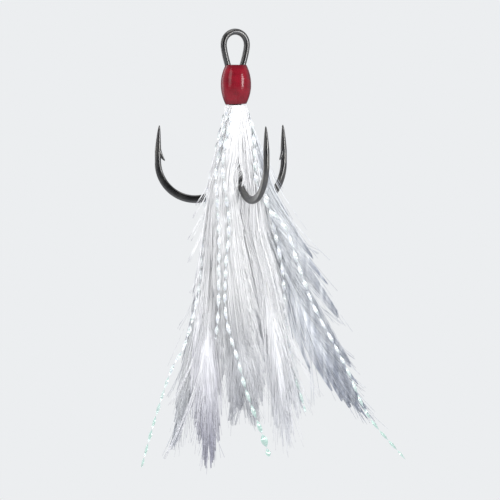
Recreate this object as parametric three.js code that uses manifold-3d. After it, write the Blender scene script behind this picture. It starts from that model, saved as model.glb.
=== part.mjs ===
// Dressed treble hook: three barbed points bent from two wires, an eye, a bound and lacquered head,
// six hackle feathers and six strands of twisted tinsel.
//
// Millimetres, +Z up. The origin is the centre of the eye's hole and the shank runs down the Z axis.
// -Y is the front, the side that the flats of the feathers face.
import * as THREE from "three";
import { mergeVertices } from "three/addons/utils/BufferGeometryUtils.js";
import Module from "manifold-3d";

const wasm = await Module();
wasm.setup();

// ---------------------------------------------------------------- driving dimensions

const WIRE = {
  radius: 0.5, // round drawn wire, 1 mm
  sides: 12,
};

const HOOK = {
  turn: THREE.MathUtils.degToRad(22.5), // how far the single hook stands round from the front
  shankOffset: 0.62, // the three shanks nest round the axis at this radius
  bendRadius: 6.0, // centreline of the round bend
  bendTop: -18.2, // height of the bend's centre
  tip: -12.4, // height of the point
  tipLean: 0.25, // the point leans in towards the shank by this much
  pointLength: 3.9, // ground taper
  pointShares: [0, 0.12, 0.35, 0.6, 0.85, 1], // shares of the taper that get a section
  tipRadius: 0.05,
  bendSteps: 16,
  forgedInPlane: 0.63, // the bend is pressed flat, so it is deeper in its plane
  forgedAcross: 0.41, // and thinner across it
  forgingPower: 0.6, // how quickly the pressing sets in from the ends of the bend
  shankHeights: [-14, -9.5], // sections up the shank
};

const BARB = {
  root: -16.3, // where the barb is raised from the wire
  heel: -17.2,
  end: -18.1,
  reach: 1.15, // from the wire's centre to the barb's end
  thickness: 0.36,
  bite: 0.1, // how far its root lies inside the wire's centreline
};

const EYE = {
  top: 2.6, // centreline
  halfWidth: 2.0, // centreline
  shoulder: 0.6, // height of the top arc's centre
  arcAngles: [0, 22, 45, 68], // degrees up the top arc
  // The legs' centreline from low to high, as x and z.
  leg: [
    [0.7, -4.4],
    [1.1, -3.3],
    [1.42, -2.3],
    [1.72, -1.2],
    [1.93, -0.2],
  ],
};

const SHANK_TOP = -5.3; // where the eye's two legs have come together
const SINGLE_SHANK_TOP = -3.6; // the single hook's wire ends inside the head

const HEAD = {
  top: -2.7,
  bottom: -9.0,
  radius: 2.43, // the widest part of the barrel
  endRadius: 1.66,
  lacquer: 0.12, // thickness of the lacquer coat
  layerGap: 0.05, // between one layer and the next
  boreTop: -4.9, // the thread fills the head above this height
  boreRadius: 1.6, // and is wound on the dressing's butts below it
  threadEnd: 0.35, // from the head's lower end up to the thread
  lip: 0.3, // height of the lacquer's thicker lip at the lower end
  lipDraft: 0.02,
  sides: 24,
  steps: 10,
};

const UNDERWRAP = { top: -5.0, bottom: -8.5, inner: 1.15, outer: 1.23 };
const BRAZE = { top: -10.2, bottom: -17.6, gap: 0.05, rise: THREE.MathUtils.degToRad(52) };
const WIRE_CLEARANCE = 0.06;
const WELD_DISTANCE = 1e-4;

const TIE = {
  radius: 1.42, // the quills leave the head on this circle
  tinselRadius: 1.52,
  buttTop: -5.05,
  buttBottom: -8.95,
  quillTop: -9.35,
  tinselTop: -9.45,
};

const QUILL = { baseRadius: 0.15, tipRadius: 0.06, sides: 6, share: 0.85, steps: 14 };
const VANE = { middle: 0.5, edge: 0.28, start: 0.07, rootHalfWidth: 0.3, steps: 17, slot: 0.13 };
const TINSEL = { diameter: 0.7, step: 2.1, buttWidth: 0.5, buttThickness: 0.12 };

// ---------------------------------------------------------------- materials

const material = (color, roughness, metalness) =>
  new THREE.MeshStandardMaterial({ color, roughness, metalness });

const blackNickel = () => material(0x2b2c30, 0.22, 1);
const brazeAlloy = () => material(0x6d665c, 0.4, 1);
const thread = () => material(0x8c1222, 0.7, 0);
const lacquer = () => material(0xa01425, 0.12, 0);
const quillHorn = () => material(0xe9e6dc, 0.5, 0);
const hackle = () => material(0xf1f3f5, 0.85, 0);
const flash = () => material(0xe6f4ef, 0.2, 0.3);

// ---------------------------------------------------------------- helpers

const vector = (x, y, z) => new THREE.Vector3(x, y, z);

// A point on a circle round the Z axis; azimuth 0 is +X.
function around(azimuth, radius, z) {
  return vector(radius * Math.cos(azimuth), radius * Math.sin(azimuth), z);
}

const degrees = (angle) => THREE.MathUtils.degToRad(angle);

// Only the positions, with shared corners merged.
function welded(geometry) {
  const bare = geometry.clone();
  bare.deleteAttribute("normal");
  bare.deleteAttribute("uv");
  return mergeVertices(bare, WELD_DISTANCE);
}

function toSolid(geometry) {
  const merged = welded(geometry);
  return new wasm.Manifold(
    new wasm.Mesh({
      numProp: 3,
      vertProperties: new Float32Array(merged.getAttribute("position").array),
      triVerts: new Uint32Array(merged.index.array),
    }),
  );
}

function toGeometry(solid) {
  const mesh = solid.getMesh();
  const geometry = new THREE.BufferGeometry();
  geometry.setAttribute("position", new THREE.BufferAttribute(mesh.vertProperties, 3));
  geometry.setIndex(new THREE.BufferAttribute(mesh.triVerts, 1));
  geometry.computeVertexNormals();
  return geometry;
}

const joined = (...pieces) =>
  toGeometry(pieces.map(toSolid).reduce((whole, piece) => whole.add(piece)));

const cut = (piece, ...tools) =>
  toGeometry(tools.map(toSolid).reduce((rest, tool) => rest.subtract(tool), toSolid(piece)));

function named(name, geometry, look) {
  const mesh = new THREE.Mesh(geometry, look);
  mesh.name = name;
  return mesh;
}

// A station is a place on a path, a side direction, and the section's half sizes: `wide` along the
// side direction and `deep` square to it.
const station = (at, side, wide, deep = wide) => ({ at, side, wide, deep });

// The direction of travel at station i.
function heading(stations, i) {
  const before = stations[Math.max(i - 1, 0)].at;
  const after = stations[Math.min(i + 1, stations.length - 1)].at;
  return after.clone().sub(before).normalize();
}

// The side direction at station i, made square to the direction of travel.
function squareSide(stations, i, travel) {
  const side = stations[i].side.clone();
  return side.addScaledVector(travel, -side.dot(travel)).normalize();
}

// Bends a closed cylinder along the stations. `grow` makes every section larger all round.
function bentRod(stations, sides, grow = 0) {
  const last = stations.length - 1;
  const geometry = new THREE.CylinderGeometry(1, 1, 1, sides, last);
  const corners = geometry.getAttribute("position");
  for (let c = 0; c < corners.count; c++) {
    const i = Math.round((0.5 - corners.getY(c)) * last);
    const travel = heading(stations, i);
    const side = squareSide(stations, i, travel);
    const across = travel.clone().cross(side);
    const place = stations[i].at
      .clone()
      .addScaledVector(side, corners.getX(c) * (stations[i].wide + grow))
      .addScaledVector(across, corners.getZ(c) * (stations[i].deep + grow));
    corners.setXYZ(c, place.x, place.y, place.z);
  }
  return geometry;
}

// ---------------------------------------------------------------- wires

// One hook from its point down the point leg, round the bend and up the shank, in the vertical plane
// at `azimuth`.
function hookStations(azimuth, shankTop) {
  const inPlane = around(azimuth, 1, 0);
  const place = (radius, z) => around(azimuth, radius, z);
  const made = [];
  const legRadius = HOOK.shankOffset + 2 * HOOK.bendRadius;
  const legLength = HOOK.tip - HOOK.bendTop;

  for (const share of HOOK.pointShares) {
    const down = share * HOOK.pointLength;
    const lean = HOOK.tipLean * (1 - down / legLength) ** 2;
    const radius = THREE.MathUtils.lerp(HOOK.tipRadius, WIRE.radius, Math.sqrt(share));
    made.push(station(place(legRadius - lean, HOOK.tip - down), inPlane, radius));
  }

  for (let i = 0; i <= HOOK.bendSteps; i++) {
    const angle = (Math.PI * i) / HOOK.bendSteps;
    const radius = HOOK.shankOffset + HOOK.bendRadius * (1 + Math.cos(angle));
    const z = HOOK.bendTop - HOOK.bendRadius * Math.sin(angle);
    const forging = Math.sin(angle) ** HOOK.forgingPower;
    const wide = THREE.MathUtils.lerp(WIRE.radius, HOOK.forgedInPlane, forging);
    const deep = THREE.MathUtils.lerp(WIRE.radius, HOOK.forgedAcross, forging);
    const side = around(azimuth, Math.cos(angle), -Math.sin(angle));
    made.push(station(place(radius, z), side, wide, deep));
  }

  for (const z of [...HOOK.shankHeights, shankTop]) {
    const side = inPlane.clone().negate();
    made.push(station(place(HOOK.shankOffset, z), side, WIRE.radius));
  }
  return made;
}

// The barb: a sliver raised from the inner face of the point leg, which points back to the bend.
function barbGeometry(azimuth) {
  const legRadius = HOOK.shankOffset + 2 * HOOK.bendRadius;
  const outline = new THREE.Shape([
    new THREE.Vector2(legRadius - BARB.bite, BARB.root),
    new THREE.Vector2(legRadius - BARB.reach, BARB.end),
    new THREE.Vector2(legRadius - BARB.bite, BARB.heel),
  ]);
  const barb = new THREE.ExtrudeGeometry(outline, { depth: BARB.thickness, bevelEnabled: false });
  barb.translate(0, 0, -BARB.thickness / 2);
  barb.rotateX(Math.PI / 2);
  barb.rotateZ(azimuth);
  return barb;
}

const SINGLE_AZIMUTH = degrees(-90);
const RIGHT_AZIMUTH = degrees(30);
const LEFT_AZIMUTH = degrees(150);
const EYE_PLANE = HOOK.shankOffset * Math.sin(RIGHT_AZIMUTH);

// Half of the eye's outline above the place where its legs meet, from the leg up to the top. The eye
// lies in the plane of the double wire's two shanks.
function eyeHalf(side) {
  const rise = EYE.top - EYE.shoulder;
  const arc = EYE.arcAngles.map((angle) => [
    EYE.halfWidth * Math.cos(degrees(angle)),
    EYE.shoulder + rise * Math.sin(degrees(angle)),
  ]);
  return [...EYE.leg, ...arc].map(([x, z]) => vector(side * x, EYE_PLANE, z));
}

// The double wire: left point, bend, shank, the eye, the other shank, bend and point.
function doubleWireStations() {
  const left = hookStations(LEFT_AZIMUTH, SHANK_TOP);
  const right = hookStations(RIGHT_AZIMUTH, SHANK_TOP).reverse();
  const places = [...eyeHalf(-1), vector(0, EYE_PLANE, EYE.top), ...eyeHalf(1).reverse()];
  const eye = places.map((at) => {
    const outward = vector(at.x, 0, at.z - EYE.shoulder);
    return station(at, outward, WIRE.radius);
  });
  return [...left, ...eye, ...right];
}

// Turns each station's side so that it follows the one before it without a twist in the mesh.
function untwisted(stations) {
  const sides = stations.map((_, i) => squareSide(stations, i, heading(stations, i)));
  for (let i = 1; i < sides.length; i++) {
    if (sides[i].dot(sides[i - 1]) < 0) sides[i].negate();
  }
  return stations.map((given, i) => ({ ...given, side: sides[i] }));
}

function wires() {
  const single = untwisted(hookStations(SINGLE_AZIMUTH, SINGLE_SHANK_TOP));
  const double = untwisted(doubleWireStations());
  const group = new THREE.Group();
  group.rotation.z = HOOK.turn;
  group.add(
    named(
      "single_hook_wire",
      joined(bentRod(single, WIRE.sides), barbGeometry(SINGLE_AZIMUTH)),
      blackNickel(),
    ),
    named(
      "double_hook_wire",
      joined(
        bentRod(double, WIRE.sides),
        barbGeometry(LEFT_AZIMUTH),
        barbGeometry(RIGHT_AZIMUTH),
      ),
      blackNickel(),
    ),
  );
  const clearance = [single, double].map((stations) =>
    bentRod(stations, WIRE.sides, WIRE_CLEARANCE).rotateZ(HOOK.turn),
  );
  return { group, clearance };
}

// ---------------------------------------------------------------- braze

// The braze in one groove between two shanks: a run with two hollow sides, along Z.
function brazeSection() {
  const halfSpacing = HOOK.shankOffset * Math.sin(degrees(60));
  const inset = HOOK.shankOffset * Math.cos(degrees(60));
  const round = WIRE.radius + BRAZE.gap;
  const low = Math.acos(halfSpacing / round);
  const outline = [];
  const steps = 4;
  for (let i = 0; i <= steps; i++) {
    const angle = THREE.MathUtils.lerp(low, BRAZE.rise, i / steps);
    const y = halfSpacing - round * Math.cos(angle);
    outline.push(new THREE.Vector2(inset + round * Math.sin(angle), y));
  }
  const mirrored = outline
    .slice(1)
    .reverse()
    .map((p) => new THREE.Vector2(p.x, -p.y));
  return new THREE.Shape([...outline, ...mirrored]);
}

function brazes() {
  const group = new THREE.Group();
  group.rotation.z = HOOK.turn;
  const grooves = { braze_left: 210, braze_right: 330, braze_back: 90 };
  for (const [name, azimuth] of Object.entries(grooves)) {
    const run = new THREE.ExtrudeGeometry(brazeSection(), {
      depth: BRAZE.top - BRAZE.bottom,
      bevelEnabled: false,
    });
    const mesh = named(name, run, brazeAlloy());
    mesh.position.z = BRAZE.bottom;
    mesh.rotation.z = degrees(azimuth);
    group.add(mesh);
  }
  return group;
}

// ---------------------------------------------------------------- bound head

// The barrel's radius at a height: a circular arc from end to end, taken in by `depth`.
function barrelRadius(z, depth) {
  const middle = (HEAD.top + HEAD.bottom) / 2;
  const half = (HEAD.top - HEAD.bottom) / 2;
  const sagitta = HEAD.radius - HEAD.endRadius;
  const arc = (half ** 2 + sagitta ** 2) / (2 * sagitta);
  return HEAD.radius - depth - (arc - Math.sqrt(arc ** 2 - (z - middle) ** 2));
}

function barrelProfile(top, bottom, depth) {
  return Array.from({ length: HEAD.steps + 1 }, (_, i) => {
    const z = THREE.MathUtils.lerp(top, bottom, i / HEAD.steps);
    return new THREE.Vector2(barrelRadius(z, depth), z);
  });
}

// Turns a profile of (radius, height) round the Z axis.
function turned(profile) {
  return new THREE.LatheGeometry(profile.reverse(), HEAD.sides).rotateX(Math.PI / 2);
}

function threadHead(clearance) {
  const depth = HEAD.lacquer + HEAD.layerGap;
  const top = HEAD.top - depth;
  const bottom = HEAD.bottom + HEAD.threadEnd;
  const profile = [
    new THREE.Vector2(0, top),
    ...barrelProfile(top, bottom, depth),
    new THREE.Vector2(HEAD.boreRadius, bottom),
    new THREE.Vector2(HEAD.boreRadius, HEAD.boreTop),
    new THREE.Vector2(0, HEAD.boreTop),
  ];
  return named("thread_head", cut(turned(profile), ...clearance), thread());
}

// The lacquer coat covers the barrel and closes over the thread at the top.
function headLacquer(clearance) {
  const inside = HEAD.bottom + HEAD.lip;
  const profile = [
    new THREE.Vector2(0, HEAD.top),
    ...barrelProfile(HEAD.top, HEAD.bottom, 0),
    new THREE.Vector2(HEAD.boreRadius, HEAD.bottom),
    new THREE.Vector2(HEAD.boreRadius + HEAD.lipDraft, inside),
    ...barrelProfile(HEAD.top - HEAD.lacquer, inside, HEAD.lacquer).reverse(),
    new THREE.Vector2(0, HEAD.top - HEAD.lacquer),
  ];
  return named("head_lacquer", cut(turned(profile), ...clearance), lacquer());
}

function underwrap() {
  const { inner, outer, top, bottom } = UNDERWRAP;
  const profile = [
    new THREE.Vector2(inner, top),
    new THREE.Vector2(outer, top),
    new THREE.Vector2(outer, bottom),
    new THREE.Vector2(inner, bottom),
    new THREE.Vector2(inner, top),
  ];
  return named("thread_underwrap", turned(profile), thread());
}

// ---------------------------------------------------------------- feathers

// Each feather is a row of [x, y, z, left half width, right half width] down its quill, and an
// azimuth in degrees where it leaves the head.
const FEATHERS = {
  middle: {
    tie: 285,
    line: [
      [0, -1.72, -12.5, 0.8, 0.8],
      [-0.8, -2.1, -17, 1.5, 1.2],
      [-1.7, -2.35, -23.5, 1.9, 1.3],
      [-1.5, -2.4, -30, 2.8, 2.5],
      [-0.6, -2.35, -40, 3.2, 3.8],
      [0.8, -2.3, -50, 3.1, 4.2],
      [1.4, -2.25, -57, 2.6, 3.0],
      [1.5, -2.2, -60.5, 0.8, 0.8],
    ],
  },
  left: {
    tie: 195,
    line: [
      [-1.6, -0.9, -12.5, 0.4, 0.6],
      [-2.2, -1.2, -17, 0.6, 0.9],
      [-3.1, -1.35, -23.5, 0.8, 1.3],
      [-3.5, -1.4, -30, 1.0, 2.3],
      [-3.9, -1.4, -38, 1.3, 2.8],
      [-4.4, -1.4, -47, 2.4, 3.0],
      [-4.4, -1.35, -57, 2.2, 2.2],
      [-4.4, -1.3, -67.2, 0.3, 0.3],
    ],
  },
  centre_right: {
    tie: 315,
    line: [
      [1.3, -1.15, -12.5, 0.4, 0.6],
      [1.7, -1.0, -17, 0.6, 1.0],
      [2.4, -0.85, -23.5, 1.0, 1.5],
      [2.9, -0.8, -29.8, 2.4, 1.8],
      [4.6, -0.8, -36.2, 2.7, 1.7],
      [6.1, -0.8, -45.5, 2.5, 1.1],
      [7.4, -0.8, -57, 0.8, 0.6],
      [8.4, -0.8, -65, 0.2, 0.2],
    ],
  },
  right: {
    tie: 45,
    line: [
      [1.6, 0.75, -12.5, 0.4, 0.6],
      [2.1, 0.5, -17.9, 0.7, 1.8],
      [3.0, 0.28, -24, 1.5, 3.4],
      [6.2, 0.15, -32.1, 2.6, 4.8],
      [9.9, 0.1, -40.2, 2.8, 5.4],
      [12.6, 0.1, -46.2, 2.4, 4.6],
      [15.5, 0.1, -50.9, 1.8, 3.0],
      [21.4, 0.1, -59.4, 0.2, 0.2],
    ],
  },
  back_right: {
    tie: 75,
    line: [
      [0.2, 1.65, -12.5, 0.6, 0.6],
      [-0.1, 1.95, -17, 0.9, 0.7],
      [-0.6, 2.25, -23.5, 1.3, 0.9],
      [0.4, 2.3, -30, 2.0, 2.4],
      [2.6, 2.3, -38, 2.8, 2.9],
      [5.2, 2.2, -46, 2.6, 2.6],
      [8.6, 2.1, -54, 1.4, 1.2],
      [10.4, 2.1, -58, 0.2, 0.2],
    ],
  },
  back_left: {
    tie: 135,
    line: [
      [-1.5, 1.15, -12.5, 0.5, 0.5],
      [-2.1, 1.3, -17, 0.8, 0.7],
      [-3.0, 1.4, -23.5, 1.1, 1.0],
      [-3.7, 1.4, -30, 1.8, 2.0],
      [-5.0, 1.3, -40, 2.2, 2.6],
      [-6.8, 1.2, -50, 2.0, 2.2],
      [-8.6, 1.1, -58, 1.2, 1.2],
      [-10.2, 1.0, -64.5, 0.2, 0.2],
    ],
  },
};

// The feather's quill line and its half widths, as two curves over the same parameter.
function featherCurves({ tie, line }) {
  const start = around(degrees(tie), TIE.radius, TIE.quillTop);
  const places = line.map(([x, y, z]) => vector(x, y, z));
  const root = vector(VANE.rootHalfWidth, VANE.rootHalfWidth, 0);
  const widths = line.map(([, , , left, right]) => vector(left, right, 0));
  return {
    place: new THREE.CatmullRomCurve3([start, ...places]),
    width: new THREE.CatmullRomCurve3([root, ...widths]),
  };
}

function quillStations({ place }) {
  const front = vector(0, -1, 0);
  return Array.from({ length: QUILL.steps + 1 }, (_, i) => {
    const share = i / QUILL.steps;
    const radius = THREE.MathUtils.lerp(QUILL.baseRadius, QUILL.tipRadius, share);
    return station(place.getPoint(QUILL.share * share), front, radius);
  });
}

// The vane: a closed box drawn out along the quill line, thickest in the middle, with its flat to
// the front and a slot that the quill lies in.
function vaneGeometry({ place, width }, quill) {
  const blade = new THREE.BoxGeometry(1, 1, 1, 2, 1, VANE.steps);
  const corners = blade.getAttribute("position");
  for (let c = 0; c < corners.count; c++) {
    const share = THREE.MathUtils.lerp(VANE.start, 1, corners.getZ(c) + 0.5);
    const at = place.getPoint(share);
    const travel = place.getTangent(share);
    const right = travel.clone().cross(vector(0, 1, 0)).normalize();
    const front = travel.clone().cross(right);
    const half = width.getPoint(share);
    const x = corners.getX(c);
    const thickness = x === 0 ? VANE.middle : VANE.edge;
    at.addScaledVector(right, 2 * x * (x < 0 ? half.x : half.y));
    at.addScaledVector(front, corners.getY(c) * thickness);
    corners.setXYZ(c, at.x, at.y, at.z);
  }
  return cut(blade, bentRod(quill, QUILL.sides, VANE.slot));
}

function feather(name, spec) {
  const curves = featherCurves(spec);
  const quill = quillStations(curves);
  const group = new THREE.Group();
  group.add(
    named("quill_" + name, bentRod(quill, QUILL.sides), quillHorn()),
    named("vane_" + name, vaneGeometry(curves, quill), hackle()),
  );
  return group;
}

// The end of a quill that lies bound under the thread.
function quillButt(name, { tie }) {
  const length = TIE.buttTop - TIE.buttBottom;
  const rod = new THREE.CylinderGeometry(QUILL.baseRadius, QUILL.baseRadius, length, QUILL.sides);
  const mesh = named("quill_butt_" + name, rod.rotateX(Math.PI / 2), quillHorn());
  mesh.position.copy(around(degrees(tie), TIE.radius, (TIE.buttTop + TIE.buttBottom) / 2));
  return mesh;
}

// ---------------------------------------------------------------- tinsel

// Each strand leaves the head at an azimuth in degrees and runs through the points.
const STRANDS = {
  left: {
    tie: 165,
    line: [
      [-2.35, -0.3, -12.6],
      [-3.4, -0.95, -17.5],
      [-4.4, -1.2, -22.3],
      [-5.0, -1.35, -28],
      [-5.3, -1.4, -32.6],
      [-6.0, -1.4, -39],
      [-8.3, -1.5, -47.7],
      [-10.2, -1.6, -51.2],
      [-12.8, -1.8, -58.8],
      [-15.1, -2.0, -67],
    ],
  },
  centre_left: {
    tie: 225,
    line: [
      [-1.9, -1.75, -12.6],
      [-2.75, -2.3, -17],
      [-3.2, -2.75, -20.5],
      [-2.95, -3.1, -25],
      [-2.7, -3.15, -30],
      [-2.75, -3.15, -36],
      [-2.8, -3.15, -41],
      [-3.2, -3.1, -46.5],
    ],
  },
  centre: {
    tie: 255,
    line: [
      [-1.1, -2.25, -12.6],
      [-1.9, -2.85, -16.5],
      [-2.1, -3.05, -19.5],
      [-1.6, -3.15, -23.5],
      [-1.1, -3.15, -28],
      [-1.6, -3.15, -34.9],
      [-1.7, -3.1, -41.9],
      [-1.0, -3.1, -45.6],
      [0.2, -3.1, -49.5],
      [1.5, -3.05, -54.3],
      [2.9, -3.0, -58.3],
      [4.3, -3.0, -62],
      [5.3, -3.0, -65.2],
    ],
  },
  right: {
    tie: 345,
    line: [
      [2.6, -0.95, -12.5],
      [3.0, -1.65, -17],
      [3.3, -1.65, -21.5],
      [5.4, -1.55, -25.6],
      [7.9, -1.4, -28.8],
      [10, -1.2, -34.8],
      [12.4, -1.0, -41.2],
      [16.1, -0.9, -48.1],
      [18, -0.9, -51.9],
      [21.1, -1.0, -58.7],
      [27.1, -1.2, -65.8],
    ],
  },
  short_right: {
    tie: 15,
    line: [
      [2.4, -0.02, -12.5],
      [3.3, -0.3, -18],
      [4.9, -0.48, -24],
      [6.3, -0.6, -29.8],
      [7.4, -0.65, -35.5],
      [8.1, -0.65, -44.8],
      [9.3, -0.65, -51.5],
      [11.1, -0.65, -58.2],
    ],
  },
  back: {
    tie: 105,
    line: [
      [-0.7, 2.3, -12.5],
      [-1.2, 2.85, -18],
      [-1.7, 3.1, -24],
      [-2.2, 3.2, -32],
      [-2.9, 3.2, -42],
      [-3.4, 3.2, -52],
      [-4.4, 3.1, -60],
    ],
  },
};

function tinselStrand(name, { tie, line }) {
  const start = around(degrees(tie), TIE.tinselRadius, TIE.tinselTop);
  const path = new THREE.CatmullRomCurve3([start, ...line.map(([x, y, z]) => vector(x, y, z))]);
  const section = new THREE.Shape().absarc(0, 0, TINSEL.diameter / 2, 0, 2 * Math.PI);
  const tube = new THREE.ExtrudeGeometry(section, {
    steps: Math.round(path.getLength() / TINSEL.step),
    curveSegments: 4,
    bevelEnabled: false,
    extrudePath: path,
  });
  return named("tinsel_" + name, tube, flash());
}

// The end of a strand that lies flat under the thread.
function tinselButt(name, { tie }) {
  const length = TIE.buttTop - TIE.buttBottom;
  const strip = new THREE.BoxGeometry(TINSEL.buttThickness, TINSEL.buttWidth, length);
  const mesh = named("tinsel_butt_" + name, strip, flash());
  mesh.position.copy(around(degrees(tie), TIE.radius, (TIE.buttTop + TIE.buttBottom) / 2));
  mesh.rotation.z = degrees(tie);
  return mesh;
}

// ---------------------------------------------------------------- assembly

function dressedTrebleHook() {
  const object = new THREE.Group();
  const { group, clearance } = wires();
  object.add(group, brazes(), underwrap(), threadHead(clearance), headLacquer(clearance));
  for (const [name, spec] of Object.entries(FEATHERS)) {
    object.add(feather(name, spec), quillButt(name, spec));
  }
  for (const [name, spec] of Object.entries(STRANDS)) {
    object.add(tinselStrand(name, spec), tinselButt(name, spec));
  }
  return object;
}

export default dressedTrebleHook();
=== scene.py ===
"""Looks for the dressed treble hook: plated wires, a lacquered head, hackle feathers and tinsel.

Lengths are in millimetres in the tables and functions, and turn into metres where a mesh is made.
The origin is the centre of the eye's hole, +Z runs up the shank and -Y is the front.
"""
import math

import bmesh
import bpy
import numpy as np
from mathutils import Matrix


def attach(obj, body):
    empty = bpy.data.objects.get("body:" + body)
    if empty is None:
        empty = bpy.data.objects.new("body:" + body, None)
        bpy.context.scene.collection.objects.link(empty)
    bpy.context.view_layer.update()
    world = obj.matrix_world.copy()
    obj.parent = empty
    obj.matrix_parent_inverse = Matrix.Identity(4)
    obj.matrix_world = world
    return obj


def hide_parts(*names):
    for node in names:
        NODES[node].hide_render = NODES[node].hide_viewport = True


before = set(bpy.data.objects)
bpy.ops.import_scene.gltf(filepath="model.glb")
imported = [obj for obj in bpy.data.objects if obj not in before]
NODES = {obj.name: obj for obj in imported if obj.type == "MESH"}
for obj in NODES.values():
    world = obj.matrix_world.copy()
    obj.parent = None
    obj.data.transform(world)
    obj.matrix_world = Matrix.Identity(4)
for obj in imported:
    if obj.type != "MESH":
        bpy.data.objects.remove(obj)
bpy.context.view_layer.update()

MM = 0.001

# ------------------------------------------------------------------ camera and light

CAMERA_CENTRE = (2.24, 0.0, -32.32)
CAMERA_DISTANCE = 1.1
CAMERA_ELEVATION = 1.7
FRAME_WIDTH = 80.0

# Each light's azimuth, elevation, distance, width, height, watts, and whether metal mirrors it.
LIGHTS_CENTRE = (0.0, 0.0, -25.0)
LIGHTS = {
    "key": (54, 10, 0.55, 0.11, 0.30, 1.7, True),
    "fill": (-50, 18, 0.60, 0.20, 0.40, 0.7, True),
    "top": (5, 78, 0.50, 0.35, 0.35, 0.8, True),
    "rim": (-125, 8, 0.55, 0.12, 0.40, 0.8, True),
    "front": (-8, 6, 0.90, 0.50, 0.50, 1.2, False),
}

PAPER = (0.839, 0.855, 0.871)
SOFT_LIGHT = 1.10
SOFT_COLOUR = (0.97, 0.98, 1.0)
MIRRORED_COLOUR = (0.96, 0.975, 1.0)

# The mirrored studio's brightness, from its dark side at -Y to its bright side at +Y.
MIRRORED_RANGE = {"From Min": -0.50, "From Max": 0.55, "To Min": 0.035, "To Max": 0.95}


def aim(obj, place, target):
    """Puts obj at a place, looking at the target, both in metres."""
    place = np.array(place, float)
    back = place - np.array(target, float)
    back /= np.linalg.norm(back)
    right = np.cross((0.0, 0.0, 1.0), back)
    right /= np.linalg.norm(right)
    up = np.cross(back, right)
    rows = np.vstack([np.column_stack([right, up, back, place]), (0.0, 0.0, 0.0, 1.0)])
    obj.matrix_world = Matrix(rows.tolist())


def from_angles(azimuth, elevation, distance, centre):
    """A place seen at an azimuth (0 is the front, 90 the right) and elevation in degrees."""
    a, e = math.radians(azimuth), math.radians(elevation)
    way = np.array([math.sin(a) * math.cos(e), -math.cos(a) * math.cos(e), math.sin(e)])
    return np.array(centre) + distance * way


def make_camera():
    """A long lens straight in front, a little above the object's middle."""
    centre = np.array(CAMERA_CENTRE) * MM
    data = bpy.data.cameras.new("camera")
    data.sensor_width = 36.0
    data.lens = data.sensor_width * CAMERA_DISTANCE / (FRAME_WIDTH * MM)
    data.clip_start = 0.05
    data.clip_end = 50.0
    camera = bpy.data.objects.new("camera", data)
    bpy.context.scene.collection.objects.link(camera)
    aim(camera, from_angles(0.0, CAMERA_ELEVATION, CAMERA_DISTANCE, centre), centre)
    bpy.context.scene.camera = camera


def area_light(name, azimuth, elevation, distance, width, height, watts, mirrored):
    centre = np.array(LIGHTS_CENTRE) * MM
    data = bpy.data.lights.new(name, "AREA")
    data.shape = "RECTANGLE"
    data.size = width
    data.size_y = height
    data.energy = watts
    light = bpy.data.objects.new(name, data)
    light.visible_glossy = mirrored
    bpy.context.scene.collection.objects.link(light)
    aim(light, from_angles(azimuth, elevation, distance, centre), centre)


def make_lights():
    for name, settings in LIGHTS.items():
        area_light(name, *settings)


def make_world():
    """A pale paper backdrop. Soft light comes from all round, and what shines in metal and lacquer
    is a studio that is dark behind the camera and bright beyond the object."""
    world = bpy.data.worlds.new("studio")
    bpy.context.scene.world = world
    world.use_nodes = True
    tree = world.node_tree
    tree.nodes.clear()
    link = tree.links.new
    out = tree.nodes.new("ShaderNodeOutputWorld")
    seen, soft, mirrored = (tree.nodes.new("ShaderNodeBackground") for _ in range(3))
    seen.inputs["Color"].default_value = (*PAPER, 1)
    soft.inputs["Color"].default_value = (*SOFT_COLOUR, 1)
    soft.inputs["Strength"].default_value = SOFT_LIGHT
    mirrored.inputs["Color"].default_value = (*MIRRORED_COLOUR, 1)
    coord = tree.nodes.new("ShaderNodeTexCoord")
    split = tree.nodes.new("ShaderNodeSeparateXYZ")
    ramp = tree.nodes.new("ShaderNodeMapRange")
    ramp.interpolation_type = "SMOOTHSTEP"
    for key, value in MIRRORED_RANGE.items():
        ramp.inputs[key].default_value = value
    link(coord.outputs["Generated"], split.inputs[0])
    link(split.outputs["Y"], ramp.inputs["Value"])
    link(ramp.outputs["Result"], mirrored.inputs["Strength"])
    path = tree.nodes.new("ShaderNodeLightPath")
    for_diffuse = tree.nodes.new("ShaderNodeMixShader")
    for_camera = tree.nodes.new("ShaderNodeMixShader")
    link(path.outputs["Is Diffuse Ray"], for_diffuse.inputs["Fac"])
    link(mirrored.outputs[0], for_diffuse.inputs[1])
    link(soft.outputs[0], for_diffuse.inputs[2])
    link(path.outputs["Is Camera Ray"], for_camera.inputs["Fac"])
    link(for_diffuse.outputs[0], for_camera.inputs[1])
    link(seen.outputs[0], for_camera.inputs[2])
    link(for_camera.outputs[0], out.inputs["Surface"])


# ------------------------------------------------------------------ materials

THREAD_TILT = (0.05, 0.02, 0)


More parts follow.
